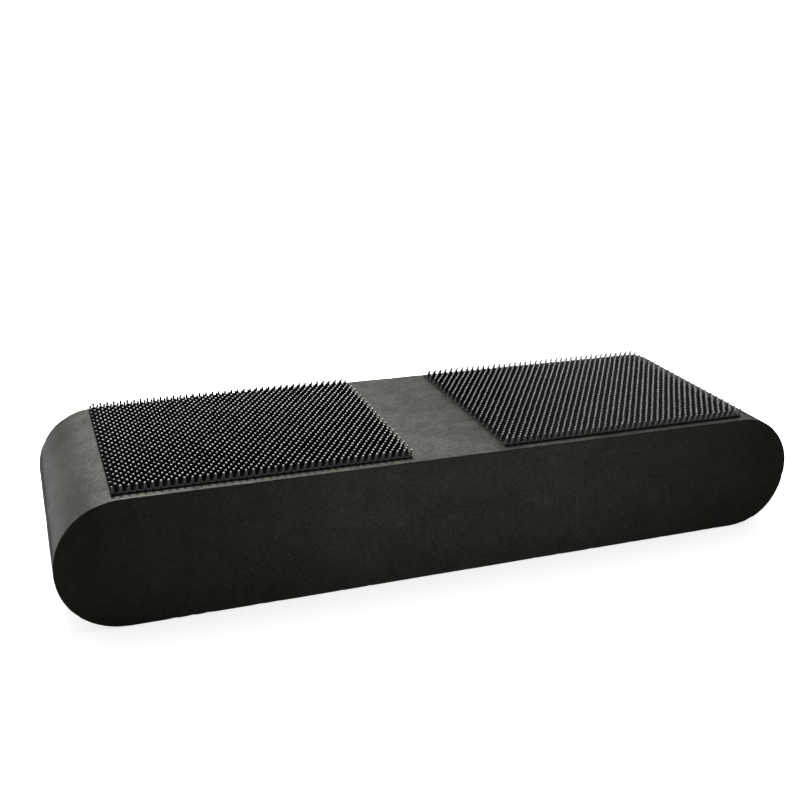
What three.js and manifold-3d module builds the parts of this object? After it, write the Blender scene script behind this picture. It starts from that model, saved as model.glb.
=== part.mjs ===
// A bass drum anchor block: a foam block with two prong pads that grip a carpet.
// Millimetres, +Z up, +X along the block. The block lies on its plain flat face with its
// pads on top, and the origin is at the centre of the face that it lies on.
import * as THREE from "three";
import { mergeVertices } from "three/addons/utils/BufferGeometryUtils.js";
import Module from "manifold-3d";

const wasm = await Module();
wasm.setup();

// The foam block: a bar with full-round ends, its round outline seen from the front.
const BLOCK_LENGTH = 305;
const BLOCK_DEPTH = 93;
const BLOCK_HEIGHT = 50;
const END_FACETS = 48; // round each half-round end

// The prong pads: one moulded sheet towards each end, with bare foam between them.
const PAD_LENGTH = 110.5;
const PAD_DEPTH = 86;
const PAD_GAP = 38.5;
const PAIR_SHIFT = -1.5; // the two pads are stuck on a little left of the block's middle
const ADHESIVE_THICKNESS = 0.15;
const SHEET_THICKNESS = 0.45;
const PRONG_HEIGHT = 3;
const END_MARGIN = 0.4; // from the sheet's ends to the outermost prongs
const SIDE_MARGIN = 1; // from the sheet's front and rear edges to the outermost rows

const PAD_X = (PAD_GAP + PAD_LENGTH) / 2; // from the pair's middle to a pad's middle

const foam = new THREE.MeshStandardMaterial({ color: 0x3b3b38, roughness: 0.95, metalness: 0 });
const adhesive = new THREE.MeshStandardMaterial({ color: 0x2b2b29, roughness: 0.8, metalness: 0 });
const mouldedPlastic = new THREE.MeshStandardMaterial({
  color: 0x3a3b3a,
  roughness: 0.5,
  metalness: 0,
});

// A closed geometry as a solid that can be joined to another.
function toSolid(geometry) {
  geometry.deleteAttribute("normal");
  geometry.deleteAttribute("uv");
  const merged = mergeVertices(geometry);
  const mesh = new wasm.Mesh({
    numProp: 3,
    vertProperties: merged.attributes.position.array,
    triVerts: new Uint32Array(merged.index.array),
  });
  return new wasm.Manifold(mesh);
}

function toGeometry(solid) {
  const { vertProperties, triVerts } = solid.getMesh();
  const geometry = new THREE.BufferGeometry();
  geometry.setAttribute("position", new THREE.BufferAttribute(vertProperties, 3));
  geometry.setIndex(new THREE.BufferAttribute(triVerts, 1));
  geometry.computeVertexNormals();
  return geometry;
}

// The block's outline: two half circles joined by straight lines.
function blockOutline() {
  const radius = BLOCK_HEIGHT / 2;
  const arcCentre = BLOCK_LENGTH / 2 - radius;
  const outline = new THREE.Shape();
  outline.absarc(arcCentre, 0, radius, -Math.PI / 2, Math.PI / 2);
  outline.absarc(-arcCentre, 0, radius, Math.PI / 2, (3 * Math.PI) / 2);
  return outline;
}

function foamBlock() {
  const geometry = new THREE.ExtrudeGeometry(blockOutline(), {
    depth: BLOCK_DEPTH,
    curveSegments: END_FACETS,
    bevelEnabled: false,
  });
  const mesh = new THREE.Mesh(geometry, foam);
  mesh.name = "foam_block";
  mesh.rotation.x = Math.PI / 2; // the outline stands up, and the depth runs along Y
  mesh.position.set(0, BLOCK_DEPTH / 2, BLOCK_HEIGHT / 2);
  return mesh;
}

// The film that holds a pad on the foam.
function adhesiveSheet(name) {
  const geometry = new THREE.BoxGeometry(PAD_LENGTH, PAD_DEPTH, ADHESIVE_THICKNESS);
  const mesh = new THREE.Mesh(geometry, adhesive);
  mesh.name = name;
  mesh.position.z = ADHESIVE_THICKNESS / 2;
  return mesh;
}

// A pad: the thin sheet, and on it one closed slab as high and wide as its field of prongs.
function prongPad(name) {
  const sheet = new THREE.BoxGeometry(PAD_LENGTH, PAD_DEPTH, SHEET_THICKNESS);
  sheet.translate(0, 0, SHEET_THICKNESS / 2);
  const fieldLength = PAD_LENGTH - 2 * END_MARGIN;
  const fieldDepth = PAD_DEPTH - 2 * SIDE_MARGIN;
  const rooted = SHEET_THICKNESS / 2; // the slab starts inside the sheet, so that the two join
  const field = new THREE.BoxGeometry(fieldLength, fieldDepth, PRONG_HEIGHT + rooted);
  field.translate(0, 0, SHEET_THICKNESS + (PRONG_HEIGHT - rooted) / 2);
  const mesh = new THREE.Mesh(toGeometry(toSolid(sheet).add(toSolid(field))), mouldedPlastic);
  mesh.name = name;
  mesh.position.z = ADHESIVE_THICKNESS;
  return mesh;
}

const anchorBlock = new THREE.Group();
anchorBlock.add(foamBlock());
for (const [side, x] of [["left", -PAD_X], ["right", PAD_X]]) {
  const padPlace = new THREE.Group();
  padPlace.position.set(x + PAIR_SHIFT, 0, BLOCK_HEIGHT);
  padPlace.add(adhesiveSheet(`${side}_pad_adhesive`), prongPad(`${side}_prong_pad`));
  anchorBlock.add(padPlace);
}

export default anchorBlock;
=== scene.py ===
import math
import random

import bpy
from mathutils import Matrix, Vector, noise


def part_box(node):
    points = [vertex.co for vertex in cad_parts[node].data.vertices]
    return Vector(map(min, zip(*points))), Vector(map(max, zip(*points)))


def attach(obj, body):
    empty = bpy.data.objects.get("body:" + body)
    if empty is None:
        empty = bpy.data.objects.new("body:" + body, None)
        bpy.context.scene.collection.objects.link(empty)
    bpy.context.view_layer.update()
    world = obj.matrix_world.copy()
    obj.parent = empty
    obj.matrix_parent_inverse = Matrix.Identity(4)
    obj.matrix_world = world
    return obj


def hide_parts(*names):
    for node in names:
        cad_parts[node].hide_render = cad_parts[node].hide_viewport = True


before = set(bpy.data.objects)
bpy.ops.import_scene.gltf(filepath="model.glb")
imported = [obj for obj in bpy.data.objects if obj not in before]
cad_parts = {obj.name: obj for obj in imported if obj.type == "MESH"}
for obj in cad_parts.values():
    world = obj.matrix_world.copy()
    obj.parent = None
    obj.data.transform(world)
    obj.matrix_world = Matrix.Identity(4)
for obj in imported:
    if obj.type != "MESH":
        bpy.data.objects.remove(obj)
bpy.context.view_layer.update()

MM = 0.001

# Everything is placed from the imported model's own boxes.
FOAM_LOW, FOAM_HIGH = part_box("foam_block")
DEPTH = FOAM_HIGH.y - FOAM_LOW.y
HEIGHT = FOAM_HIGH.z - FOAM_LOW.z
RADIUS = HEIGHT / 2
STRAIGHT = FOAM_HIGH.x - RADIUS  # where each half-round end starts


def end_drop(x):
    """How far the foam's top has fallen at x, where it rounds over into an end."""
    past = abs(x) - STRAIGHT
    return RADIUS - math.sqrt(RADIUS * RADIUS - past * past) if past > 0 else 0.0


def put(node, key, value):
    """Links a socket to a node's input, or sets the input to a plain value."""
    if isinstance(value, bpy.types.NodeSocket):
        node.id_data.links.new(value, node.inputs[key])
    else:
        node.inputs[key].default_value = value


RAMP_INPUTS = ("From Min", "From Max", "To Min", "To Max")


def new_object(name, verts, faces):
    mesh = bpy.data.meshes.new(name)
    mesh.from_pydata(verts, [], faces)
    mesh.update()
    mesh.shade_smooth()
    obj = bpy.data.objects.new(name, mesh)
    bpy.context.scene.collection.objects.link(obj)
    return obj


# ---------------------------------------------------------------- camera
# angles from straight in front, above the floor and about the view; the lens is in mm
CAMERA_AZIMUTH = math.radians(-20.9063)
CAMERA_ELEVATION = math.radians(20.3499)
CAMERA_ROLL = math.radians(1.5064)
CAMERA_DISTANCE = 0.45262
CAMERA_TARGET = Vector((-0.00473, 0.01391, 0.05142))
SENSOR = 36
FOCAL_LENGTH = 47.507


def make_camera():
    level = math.cos(CAMERA_ELEVATION)
    back = Vector((
        math.sin(CAMERA_AZIMUTH) * level,
        -math.cos(CAMERA_AZIMUTH) * level,
        math.sin(CAMERA_ELEVATION),
    ))
    look = (-back).to_track_quat("-Z", "Y").to_matrix().to_4x4()
    data = bpy.data.cameras.new("camera")
    data.sensor_width = SENSOR
    data.lens = FOCAL_LENGTH
    data.clip_start = 0.02
    data.clip_end = 60
    camera = bpy.data.objects.new("camera", data)
    bpy.context.scene.collection.objects.link(camera)
    place = Matrix.Translation(CAMERA_TARGET + back * CAMERA_DISTANCE)
    camera.matrix_world = place @ look @ Matrix.Rotation(CAMERA_ROLL, 4, "Z")
    bpy.context.scene.camera = camera


# ---------------------------------------------------------------- foam block
EDGE_ROUND = 0.45 * MM
STRAIGHT_STEPS = 200
ARC_STEPS = 64
# rings on the long faces, in from their edge, and rings along the depth, from a rounded edge on
CAP_INSETS = [v * MM for v in (21, 17.5, 14, 10.5, 7.5, 5, 3.2, 2, 1.1)]
SIDE_STEPS = [v * MM for v in (0.6, 1.3, 2.3, 3.6, 5.4, 7.6, 10.2, 13.2, 16.4)]
SIDE_STEPS += [(19.6 + 3.4 * k) * MM for k in range(8)]
ROUND_STEPS = 3
# how far the ends swell past a true half round: 45 degrees up, in the middle, 45 degrees down
RIGHT_SWELL = (0.0, 0.5 * MM, 1.0 * MM)
LEFT_SWELL = (0.3 * MM, 0.2 * MM, 0.5 * MM)


def end_radius(swell, turn):
    """An end's radius over the true one, at an angle up from its middle."""
    up, middle, down = swell
    side = math.sin(2 * turn) ** 2 * (up if turn > 0 else down)
    face = math.cos(2 * turn) ** 2 * middle if abs(turn) < math.pi / 4 else 0
    return 1 + (side + face) / RADIUS


def stadium(radius):
    """A closed ring of points (x, z): along the bottom, up the right end, back along the top."""
    ring = []
    for side, swell in ((1, RIGHT_SWELL), (-1, LEFT_SWELL)):
        for k in range(STRAIGHT_STEPS):
            x = -STRAIGHT + 2 * STRAIGHT * k / STRAIGHT_STEPS
            ring.append((side * x, RADIUS - side * radius))
        for k in range(ARC_STEPS):
            turn = math.pi * k / ARC_STEPS - math.pi / 2
            reach = radius * end_radius(swell, side * turn)
            x = side * (STRAIGHT + reach * math.cos(turn))
            ring.append((x, RADIUS + side * reach * math.sin(turn)))
    return ring


def block_stations():
    """(y, inset) from the front face's middle line, over its edge, to half of the depth."""
    front = -DEPTH / 2
    stations = [(front, inset) for inset in CAP_INSETS]
    for k in range(ROUND_STEPS + 1):
        turn = math.pi / 2 * k / ROUND_STEPS
        inset = EDGE_ROUND * (1 - math.sin(turn))
        stations.append((front + EDGE_ROUND * (1 - math.cos(turn)), inset))
    stations += [(front + EDGE_ROUND + step, 0.0) for step in SIDE_STEPS]
    return stations


def middle_line(y):
    xs = [-STRAIGHT + 2 * STRAIGHT * k / STRAIGHT_STEPS for k in range(STRAIGHT_STEPS + 1)]
    return [(x, y, RADIUS) for x in xs]


def cap_faces(line, ring, flip):
    """Faces from the middle line, whose first vertex is line, to the ring round it."""
    faces = []
    half = STRAIGHT_STEPS + ARC_STEPS
    count = 2 * half
    for k in range(STRAIGHT_STEPS):
        faces.append((line + k, line + k + 1, ring + k + 1, ring + k))
        back = line + STRAIGHT_STEPS - k
        faces.append((back, back - 1, ring + half + k + 1, ring + half + k))
    for k in range(ARC_STEPS):
        right = STRAIGHT_STEPS + k
        left = half + right
        faces.append((line + STRAIGHT_STEPS, ring + right + 1, ring + right))
        faces.append((line, ring + (left + 1) % count, ring + left))
    return [tuple(reversed(f)) for f in faces] if flip else faces


NICK_COUNT = 90
NICK_SIZES = (1.2, 2.6)  # mm
NICK_DEPTHS = (0.05, 0.18)  # mm
NICK_REACH = 3 * MM  # no nick reaches further than this from a long face
NICK_SEED = 11


def make_nicks(rng):
    """Small dents along the front and rear edges: (point, size, depth)."""
    nicks = []
    for _ in range(NICK_COUNT):
        x, z = rng.choice(stadium(RADIUS))
        y = rng.choice((-1, 1)) * DEPTH / 2
        size = rng.uniform(*NICK_SIZES) * MM
        nicks.append((Vector((x, y, z)), size, rng.uniform(*NICK_DEPTHS) * MM))
    return nicks


WAVE_DEPTH = 0.12 * MM
WAVE_SCALE = 1 / (28 * MM)
RIPPLE_DEPTH = 0.03 * MM
RIPPLE_SCALE = 1 / (6 * MM)


def foam_relief(point, nicks):
    """How far the cut foam's skin lies inside its true outline at a point."""
    wave = 0.5 + 0.5 * noise.noise(point * WAVE_SCALE)
    ripple = 0.5 + 0.5 * noise.noise(point * RIPPLE_SCALE)
    depth = WAVE_DEPTH * wave + RIPPLE_DEPTH * ripple
    if abs(point.y) > DEPTH / 2 - NICK_REACH:
        for place, size, dent in nicks:
            near = (point - place).length / size
            if near < 1:
                depth += dent * (1 - near * near) ** 2
    return depth


def make_foam_block():
    half = block_stations()
    stations = half + [(-y, inset) for y, inset in reversed(half)]
    count = 2 * (STRAIGHT_STEPS + ARC_STEPS)
    verts = middle_line(-DEPTH / 2)
    first_ring = len(verts)
    for y, inset in stations:
        verts += [(x, y, z) for x, z in stadium(RADIUS - inset)]
    last_line = len(verts)
    verts += middle_line(DEPTH / 2)
    faces = cap_faces(0, first_ring, True)
    for s in range(len(stations) - 1):
        a = first_ring + s * count
        for k in range(count):
            n = (k + 1) % count
            faces.append((a + k, a + count + k, a + count + n, a + n))
    faces += cap_faces(last_line, last_line - count, False)
    block = new_object("foam_block_body", verts, faces)
    nicks = make_nicks(random.Random(NICK_SEED))
    normals = [v.normal.copy() for v in block.data.vertices]
    for v, normal in zip(block.data.vertices, normals):
        v.co -= normal * foam_relief(v.co.copy(), nicks)
    block.data.update()
    return block


# ---------------------------------------------------------------- adhesive
ADHESIVE_COLUMNS = 56
ADHESIVE_ROWS = 44
OOZE = 0.3 * MM  # how far the film's edge may creep out from under the pad
OOZE_SCALE = 300  # the waviness of that edge, per metre


def make_adhesive(node):
    low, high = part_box(node)
    middle = (low + high) / 2
    verts = []
    for z in (low.z, high.z):
        for j in range(ADHESIVE_ROWS + 1):
            for i in range(ADHESIVE_COLUMNS + 1):
                x = low.x + (high.x - low.x) * i / ADHESIVE_COLUMNS
                y = low.y + (high.y - low.y) * j / ADHESIVE_ROWS
                ooze = OOZE * (0.5 + noise.noise(Vector((x, y, z)) * OOZE_SCALE))
                if i in (0, ADHESIVE_COLUMNS):
                    x += math.copysign(ooze, x - middle.x)
                if j in (0, ADHESIVE_ROWS):
                    y += math.copysign(ooze, y - middle.y)
                verts.append((x, y, z - end_drop(x)))
    return new_object(node + "_film", verts, slab_faces(ADHESIVE_COLUMNS, ADHESIVE_ROWS))


def slab_faces(columns, rows):
    """Top, bottom and wall faces of a thin slab made of two grids, the lower one first."""
    wide = columns + 1
    layer = wide * (rows + 1)
    faces = []
    for j in range(rows):
        for i in range(columns):
            a = j * wide + i
            faces.append((a, a + wide, a + wide + 1, a + 1))
            faces.append((layer + a, layer + a + 1, layer + a + wide + 1, layer + a + wide))
    return faces + wall_faces(wide, rows, layer)


def wall_faces(wide, rows, layer):
    """Walls round two grids that are wide vertices across and layer vertices apart."""
    faces = []
    for i in range(wide - 1):
        last = rows * wide + i
        faces.append((i, i + 1, layer + i + 1, layer + i))
        faces.append((last + 1, last, layer + last, layer + last + 1))
    for j in range(rows):
        a = j * wide
        b = a + wide - 1
        faces.append((a + wide, a, layer + a, layer + a + wide))
        faces.append((b, b + wide, layer + b + wide, layer + b))
    return faces


# ---------------------------------------------------------------- prong pads
PRONGS_PER_ROW = 41  # in the even rows; the odd rows stand half a pitch along and have one less
PRONG_ROWS = 42
PRONG_SIDES = 8
SHEET = 0.45 * MM
END_MARGIN = 0.68 * MM  # from the sheet's ends to the middle of the outermost prongs
FRONT_MARGIN = 0.7 * MM
REAR_MARGIN = 1.3 * MM
# (height, half width along X, half width along Y) in mm up one prong, from its root's fillet
PRONG_PROFILE = [
    (0.00, 0.62, 0.64),
    (0.20, 0.55, 0.57),
    (1.60, 0.49, 0.51),
    (2.60, 0.43, 0.45),
    (2.90, 0.24, 0.24),
]
PRONG_TIP = 3.0  # mm
BEND_POWER = 2.5  # a prong stands upright at its root and bends over towards its tip
# how far the tips lean to the right, at the left and the right end of each pad
LEANS = {
    "left": (math.radians(0), math.radians(10)),
    "right": (math.radians(9), math.radians(18)),
}
LEAN_SPREAD = math.radians(1.5)
HEIGHT_SPREAD = 0.015
PAD_SEEDS = {"left": 21, "right": 22}


def prong_rings(foot, lean, stretch):
    """Vertices of one prong: a ring for each step of its profile, then its tip."""
    verts = []
    for height, wide, deep in PRONG_PROFILE:
        rise = height * stretch
        bend = (height / PRONG_TIP) ** BEND_POWER * PRONG_TIP
        for k in range(PRONG_SIDES):
            turn = 2 * math.pi * (k + 0.5) / PRONG_SIDES
            x = foot.x + (wide * math.cos(turn) + bend * lean[0]) * MM
            y = foot.y + (deep * math.sin(turn) + bend * lean[1]) * MM
            verts.append((x, y, foot.z + rise * MM))
    tip = (foot.x + PRONG_TIP * lean[0] * MM, foot.y + PRONG_TIP * lean[1] * MM)
    verts.append((*tip, foot.z + PRONG_TIP * stretch * MM))
    return verts


def prong_faces(first, cell):
    """Faces of one prong and of the sheet round its root. cell is the sheet's six corners."""
    n = PRONG_SIDES
    faces = []
    for step in range(len(PRONG_PROFILE) - 1):
        a = first + step * n
        faces += [(a + k, a + (k + 1) % n, a + n + (k + 1) % n, a + n + k) for k in range(n)]
    top = first + (len(PRONG_PROFILE) - 1) * n
    faces += [(top + k, top + (k + 1) % n, top + n) for k in range(n)]
    # cell corners run anticlockwise from the lower left: 0 1 2 below, 3 4 5 above
    c = cell
    r = [first + k for k in range(n)]
    faces += [
        (c[2], c[3], r[0], r[7]), (c[3], r[1], r[0]), (c[3], c[4], r[1]), (c[4], r[2], r[1]),
        (c[4], c[5], r[2]), (c[5], r[3], r[2]), (c[5], c[0], r[4], r[3]), (c[0], r[5], r[4]),
        (c[0], c[1], r[5]), (c[1], r[6], r[5]), (c[1], c[2], r[6]), (c[2], r[7], r[6]),
    ]
    return faces


def make_prong_pad(node, seed, left_lean, right_lean):
    low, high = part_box(node)
    rng = random.Random(seed)
    pitch = (high.x - low.x - 2 * END_MARGIN) / (PRONGS_PER_ROW - 1)
    row_pitch = (high.y - low.y - FRONT_MARGIN - REAR_MARGIN) / (PRONG_ROWS - 1)
    # grid lines half a pitch apart: even rows' prongs stand on odd lines, odd rows' on even ones
    xs = [low.x + END_MARGIN + pitch * (k - 1) / 2 for k in range(2 * PRONGS_PER_ROW + 1)]
    xs[0], xs[-1] = low.x, high.x
    ys = [low.y + FRONT_MARGIN + row_pitch * (j - 0.5) for j in range(PRONG_ROWS + 1)]
    ys[0], ys[-1] = low.y, high.y
    wide = len(xs)
    layer = wide * len(ys)
    verts = [(x, y, z - end_drop(x)) for z in (low.z, low.z + SHEET) for y in ys for x in xs]
    faces = wall_faces(wide, PRONG_ROWS, layer)
    for j in range(PRONG_ROWS):
        shift = j % 2
        a = j * wide
        b = a + wide
        if shift:
            # an odd row starts and ends with a narrow strip of sheet that holds no prong
            for k in (0, wide - 2):
                faces.append((a + k, b + k, b + k + 1, a + k + 1))
                top = (a + k, a + k + 1, b + k + 1, b + k)
                faces.append(tuple(layer + v for v in top))
        for i in range(PRONGS_PER_ROW - shift):
            k = 2 * i + shift
            cell = (a + k, a + k + 1, a + k + 2, b + k + 2, b + k + 1, b + k)
            faces.append(tuple(reversed(cell)))
            x = low.x + END_MARGIN + pitch * (k / 2)
            y = low.y + FRONT_MARGIN + row_pitch * j
            along = (x - low.x) / (high.x - low.x)
            slope = math.copysign(math.asin(max(0, abs(x) - STRAIGHT) / RADIUS), x)
            lean_here = left_lean + (right_lean - left_lean) * along * along
            tilt = lean_here + slope + rng.gauss(0, LEAN_SPREAD)
            lean = (math.tan(tilt), math.tan(rng.gauss(0, LEAN_SPREAD)))
            foot = Vector((x, y, low.z + SHEET - end_drop(x)))
            first = len(verts)
            verts += prong_rings(foot, lean, 1 + rng.gauss(0, HEIGHT_SPREAD))
            faces += prong_faces(first, [layer + v for v in cell])
    return new_object(node + "_moulding", verts, faces)


# ---------------------------------------------------------------- materials
MIX_INPUTS = (0, 6, 7)  # a Mix node's share and its two colours
MIX_RESULT = 2


class Nodes:
    """Builds a material's nodes, and links what it is given to sockets by name."""

    def __init__(self, name):
        self.material = bpy.data.materials.new(name)
        self.material.use_nodes = True
        self.tree = self.material.node_tree
        self.shader = self.tree.nodes["Principled BSDF"]
        self.place = self.add("ShaderNodeTexCoord").outputs["Object"]

    def add(self, kind, **inputs):
        node = self.tree.nodes.new(kind)
        for key, value in inputs.items():
            put(node, key.replace("_", " "), value)
        return node

    def noise(self, size, detail=2.0, roughness=0.5, place=None):
        node = self.add("ShaderNodeTexNoise", Scale=1 / size, Detail=detail, Roughness=roughness)
        put(node, "Vector", place or self.place)
        return node.outputs["Fac"]

    def ramp(self, value, low, high, out_low, out_high):
        node = self.add("ShaderNodeMapRange", Value=value)
        for key, number in zip(RAMP_INPUTS, (low, high, out_low, out_high)):
            put(node, key, number)
        return node.outputs["Result"]

    def math(self, operation, a, b=0):
        node = self.tree.nodes.new("ShaderNodeMath")
        node.operation = operation
        put(node, 0, a)
        put(node, 1, b)
        return node.outputs[0]

    def mix(self, share, first, second):
        node = self.tree.nodes.new("ShaderNodeMix")
        node.data_type = "RGBA"
        for index, value in zip(MIX_INPUTS, (share, first, second)):
            put(node, index, value)
        return node.outputs[MIX_RESULT]

    def bump(self, height, distance, under=None):
        node = self.add("ShaderNodeBump", Height=height, Distance=distance, Strength=1)
        if under is not None:
            put(node, "Normal", under)
        return node.outputs["Normal"]

    def finish(self, **inputs):
        for key, value in inputs.items():
            put(self.shader, key.replace("_", " "), value)
        return self.material


FOAM_DARK = (0.0034, 0.0036, 0.0028, 1)
FOAM_PALE = (0.0078, 0.0081, 0.0064, 1)
FOAM_DUST = (0.013, 0.013, 0.0115, 1)
FOAM_SHINE_TINT = (0.94, 1, 0.82, 1)
SAWN_ROUGHER = 0.1
SKIN_GLOSS = (0.155, 0.235)  # the least and the most
# the drop in shine towards a sawn face's ends is painted shade
SAWN_GLOSS_SHADED_ENDS = (0.12, 0.015)  # on a long face's middle and at its ends


def foam_material():
    """A smooth skin on the top and the ends, and duller sawn faces in front and behind, partly as
    the foam is and partly painted shade. The sawn faces' shine also falls towards the ends, which
    is painted shade.
    """
    n = Nodes("closed_cell_foam")
    split = n.add("ShaderNodeSeparateXYZ", Vector=n.place)
    depth = n.math("ABSOLUTE", split.outputs["Y"])
    sawn = n.ramp(depth, DEPTH / 2 - 0.5 * MM, DEPTH / 2 - 0.15 * MM, 0, 1)
    # painted shade: the front and rear faces' shine falls towards the block's ends
    shade_towards_ends = n.ramp(n.math("ABSOLUTE", split.outputs["X"]), 40 * MM, 140 * MM, 0, 1)
    cloud = n.noise(26 * MM, detail=3)
    patch = n.noise(5 * MM, detail=3)
    grain = n.noise(0.9 * MM, detail=2)
    pores = n.noise(0.45 * MM, detail=1)
    shade = n.math("ADD", n.ramp(cloud, 0.3, 0.7, 0, 0.45), n.ramp(patch, 0.3, 0.7, 0, 0.3))
    shade = n.math("ADD", shade, n.ramp(grain, 0.3, 0.7, 0, 0.25))
    colour = n.mix(shade, FOAM_DARK, FOAM_PALE)
    rough = n.ramp(n.math("ADD", patch, grain), 0.7, 1.3, 0.48, 0.62)
    rough = n.math("ADD", rough, n.math("MULTIPLY", sawn, SAWN_ROUGHER))
    skin = n.ramp(n.math("ADD", patch, cloud), 0.84, 1.16, *SKIN_GLOSS)
    face = n.math("SUBTRACT", n.ramp(shade_towards_ends, 0, 1, *SAWN_GLOSS_SHADED_ENDS), skin)
    gloss = n.math("ADD", skin, n.math("MULTIPLY", sawn, face))
    mottle = n.math("ADD", n.noise(1.5 * MM, detail=4, roughness=0.7), n.noise(11 * MM, detail=3))
    gloss = n.math("MULTIPLY", gloss, n.ramp(mottle, 0.75, 1.25, 0.8, 1.2))
    gloss = n.math("MULTIPLY", gloss, n.ramp(grain, 0.3, 0.7, 0.6, 1.4))
    # scuffs are drawn out along the block
    drawn_out = n.add("ShaderNodeMapping", Vector=n.place, Scale=(1, 2.6, 1)).outputs["Vector"]
    scuff = n.noise(9 * MM, detail=4, roughness=0.6, place=drawn_out)
    gloss = n.math("MULTIPLY", gloss, n.ramp(scuff, 0.6, 0.7, 1, 1.35))
    gloss = n.math("MULTIPLY", gloss, n.ramp(scuff, 0.3, 0.38, 0.72, 1))
    dust = n.ramp(n.noise(1.1 * MM, detail=1), 0.69, 0.79, 0, 1)
    colour = n.mix(dust, colour, FOAM_DUST)
    # bare foam doesn't shine along its surface the way a hard skin would
    glancing = n.add("ShaderNodeLayerWeight").outputs["Facing"]
    gloss = n.math("MULTIPLY", gloss, n.ramp(glancing, 0.6, 0.88, 1, 0.02))
    under = n.bump(patch, 0.05 * MM)
    normal = n.bump(n.math("ADD", grain, pores), 0.06 * MM, under=under)
    return n.finish(
        Base_Color=colour,
        Roughness=rough,
        Normal=normal,
        Specular_IOR_Level=gloss,
        Specular_Tint=FOAM_SHINE_TINT,
    )


PLASTIC_BLACK = (0.003, 0.0031, 0.0032, 1)
PLASTIC_GREY = (0.08, 0.081, 0.079, 1)
# pale tips: partly wear and partly a painted highlight
PLASTIC_WORN_HIGHLIT = (0.38, 0.384, 0.374, 1)
OUTERMOST = (1.2 * MM, 1.8 * MM)  # from a pad's edge, where its outermost prongs end
# painted light: how grey the outermost prongs are painted
OUTERMOST_PAINTED_LIGHT = 0.6
# painted shade: the right pad's pale tips are held at this share of the left pad's
RIGHT_PAD_TIP_SHADE = 0.38  # of the left pad's


def plastic_material(foot, tip, front, side):
    """Black between the prongs. The inner prongs' lower bodies are black too, as painted shade,
    and the outermost prongs are grey, as painted light. The tips are pale, partly wear and partly
    a painted highlight.

    foot and tip are the heights of the prongs' roots and tips. front and side are the Y and X
    of the edges whose outermost prongs are painted greyer.
    """
    n = Nodes("moulded_prong_plastic")
    split = n.add("ShaderNodeSeparateXYZ", Vector=n.place)
    height = split.outputs["Z"]
    speck = n.noise(1.6 * MM, detail=2)
    cloud = n.noise(14 * MM, detail=2)
    # painted light and shade: the outermost prongs are painted grey where they stand in the open,
    # and the inner prongs' lower bodies are left black as painted shade between them
    from_front = n.math("SUBTRACT", split.outputs["Y"], front)
    painted_light_outer = n.ramp(from_front, *OUTERMOST, OUTERMOST_PAINTED_LIGHT, 0)
    from_side = n.math("ABSOLUTE", n.math("SUBTRACT", split.outputs["X"], side))
    painted_light_outer = n.math("MAXIMUM", painted_light_outer, n.ramp(from_side, *OUTERMOST, OUTERMOST_PAINTED_LIGHT, 0))
    body = n.ramp(height, foot - 0.1 * MM, foot + 0.5 * MM, 0, 1)
    shade_below_shoulder = n.ramp(height, tip - 0.6 * MM, tip - 0.35 * MM, 0.02, 1)
    body = n.math("MULTIPLY", body, n.math("MAXIMUM", painted_light_outer, shade_below_shoulder))
    # the tips are painted pale: partly wear and partly a painted highlight
    worn_and_highlit = n.ramp(height, tip - 0.34 * MM, tip - 0.12 * MM, 0, 1)
    worn_and_highlit = n.math("MULTIPLY", worn_and_highlit, n.ramp(speck, 0.3, 0.7, 0.7, 1))
    # painted shade: the right pad's tips are painted darker than the left pad's
    painted_shade_by_pad = n.ramp(split.outputs["X"], -20 * MM, 20 * MM, 1, RIGHT_PAD_TIP_SHADE)
    worn_and_highlit = n.math("MULTIPLY", worn_and_highlit, painted_shade_by_pad)
    colour = n.mix(body, PLASTIC_BLACK, PLASTIC_GREY)
    colour = n.mix(worn_and_highlit, colour, PLASTIC_WORN_HIGHLIT)
    rough = n.ramp(cloud, 0.3, 0.7, 0.4, 0.5)
    # painted shade: shine is held back on the sheet and the lower prongs, between the prongs, and
    # kept on the tips
    gloss = n.ramp(height, tip - 0.8 * MM, tip, 0.005, 0.22)
    normal = n.bump(n.noise(0.4 * MM, detail=1), 0.006 * MM)
    return n.finish(Base_Color=colour, Roughness=rough, Normal=normal, Specular_IOR_Level=gloss)


FILM_DARK = (0.006, 0.006, 0.0055, 1)
FILM_PALE = (0.014, 0.014, 0.013, 1)


def adhesive_material():
    n = Nodes("adhesive_film")
    speck = n.noise(2.2 * MM, detail=2)
    colour = n.mix(speck, FILM_DARK, FILM_PALE)
    rough = n.ramp(speck, 0.3, 0.7, 0.55, 0.75)
    normal = n.bump(n.noise(0.8 * MM), 0.03 * MM)
    return n.finish(Base_Color=colour, Roughness=rough, Normal=normal, Specular_IOR_Level=0.3)


FLOOR_DARK = (0.56, 0.56, 0.56, 1)
FLOOR_PALE = (0.58, 0.58, 0.575, 1)
FLOOR_GLOW = 0.75


def floor_material():
    """A white diffusing table, lit a little from below."""
    n = Nodes("studio_floor")
    colour = n.mix(n.noise(0.3, detail=2), FLOOR_DARK, FLOOR_PALE)
    normal = n.bump(n.noise(3 * MM), 0.02 * MM)
    return n.finish(
        Base_Color=colour,
        Roughness=0.9,
        Normal=normal,
        Specular_IOR_Level=0.2,
        Emission_Color=(1, 1, 1, 1),
        Emission_Strength=FLOOR_GLOW,
    )


# ---------------------------------------------------------------- floor and light
FLOOR_SIZE = 14.0
FLOOR_STEPS = 8


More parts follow.
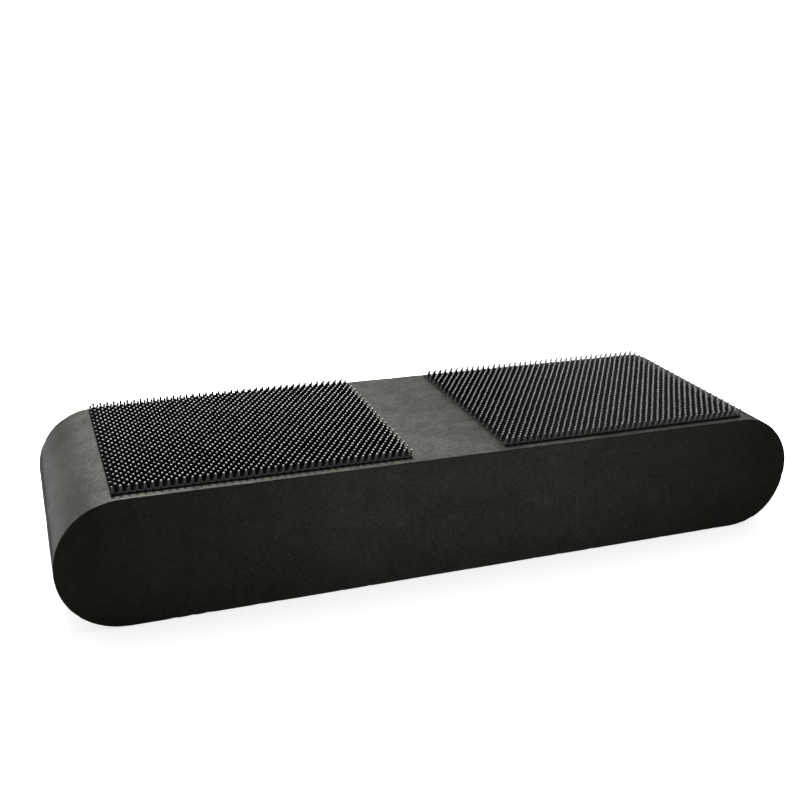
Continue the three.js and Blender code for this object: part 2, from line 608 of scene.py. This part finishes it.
def make_floor():
    verts, faces = [], []
    for j in range(FLOOR_STEPS + 1):
        for i in range(FLOOR_STEPS + 1):
            x = FLOOR_SIZE * (i / FLOOR_STEPS - 0.5)
            verts.append((x, FLOOR_SIZE * (j / FLOOR_STEPS - 0.5), 0))
    for j in range(FLOOR_STEPS):
        for i in range(FLOOR_STEPS):
            a = j * (FLOOR_STEPS + 1) + i
            faces.append((a, a + 1, a + FLOOR_STEPS + 2, a + FLOOR_STEPS + 1))
    floor = new_object("floor", verts, faces)
    floor.data.materials.append(floor_material())


# the studio's light: the same all round at the horizon, and by direction higher up
HORIZON_LIGHT = 1.05
FRONT_LIGHT = 0.22
BACK_LIGHT = 3.2
LEFT_GAIN = 0.36
RIGHT_GAIN = 0.54
KEY_PLACE = (-0.12, 0.24, 0.55)
KEY_AIM = (-0.07, 0, 0.03)
KEY_SIZE = 0.22
KEY_POWER = 12


def make_world():
    world = bpy.data.worlds.new("studio")
    bpy.context.scene.world = world
    world.use_nodes = True
    tree = world.node_tree
    sky = tree.nodes["Background"]
    place = tree.nodes.new("ShaderNodeTexCoord")
    split = tree.nodes.new("ShaderNodeSeparateXYZ")
    put(split, 0, place.outputs["Generated"])

    def fade(value, low, high, out_low, out_high):
        node = tree.nodes.new("ShaderNodeMapRange")
        node.interpolation_type = "SMOOTHSTEP"
        put(node, "Value", value)
        for key, number in zip(RAMP_INPUTS, (low, high, out_low, out_high)):
            put(node, key, number)
        return node.outputs["Result"]

    above = fade(split.outputs["Y"], -0.4, 0.15, FRONT_LIGHT, BACK_LIGHT)
    side = fade(split.outputs["X"], -0.6, 0.6, LEFT_GAIN, RIGHT_GAIN)
    gain = tree.nodes.new("ShaderNodeMath")
    gain.operation = "MULTIPLY"
    put(gain, 0, above)
    put(gain, 1, side)
    put(sky, "Strength", fade(split.outputs["Z"], 0.1, 0.4, HORIZON_LIGHT, gain.outputs[0]))
    put(sky, "Color", (1, 1, 0.99, 1))


def make_light(name, place, aim, size, power):
    data = bpy.data.lights.new(name, "AREA")
    data.shape = "SQUARE"
    data.size = size
    data.energy = power
    light = bpy.data.objects.new(name, data)
    bpy.context.scene.collection.objects.link(light)
    turn = (Vector(aim) - Vector(place)).to_track_quat("-Z", "Y").to_matrix().to_4x4()
    light.matrix_world = Matrix.Translation(place) @ turn


bpy.context.scene.view_settings.view_transform = "Standard"
make_camera()
make_floor()
make_world()
make_light("key", KEY_PLACE, KEY_AIM, KEY_SIZE, KEY_POWER)

foam = make_foam_block()
foam.data.materials.append(foam_material())
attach(foam, "root")
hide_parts("foam_block")

film_finish = adhesive_material()
pad_low, pad_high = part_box("right_prong_pad")
plastic_finish = plastic_material(pad_low.z + SHEET, pad_high.z, pad_low.y, pad_low.x)
for side in ("left", "right"):
    film = make_adhesive(f"{side}_pad_adhesive")
    film.data.materials.append(film_finish)
    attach(film, "root")
    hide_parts(f"{side}_pad_adhesive")
    pad = make_prong_pad(f"{side}_prong_pad", PAD_SEEDS[side], *LEANS[side])
    pad.data.materials.append(plastic_finish)
    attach(pad, "root")
    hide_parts(f"{side}_prong_pad")
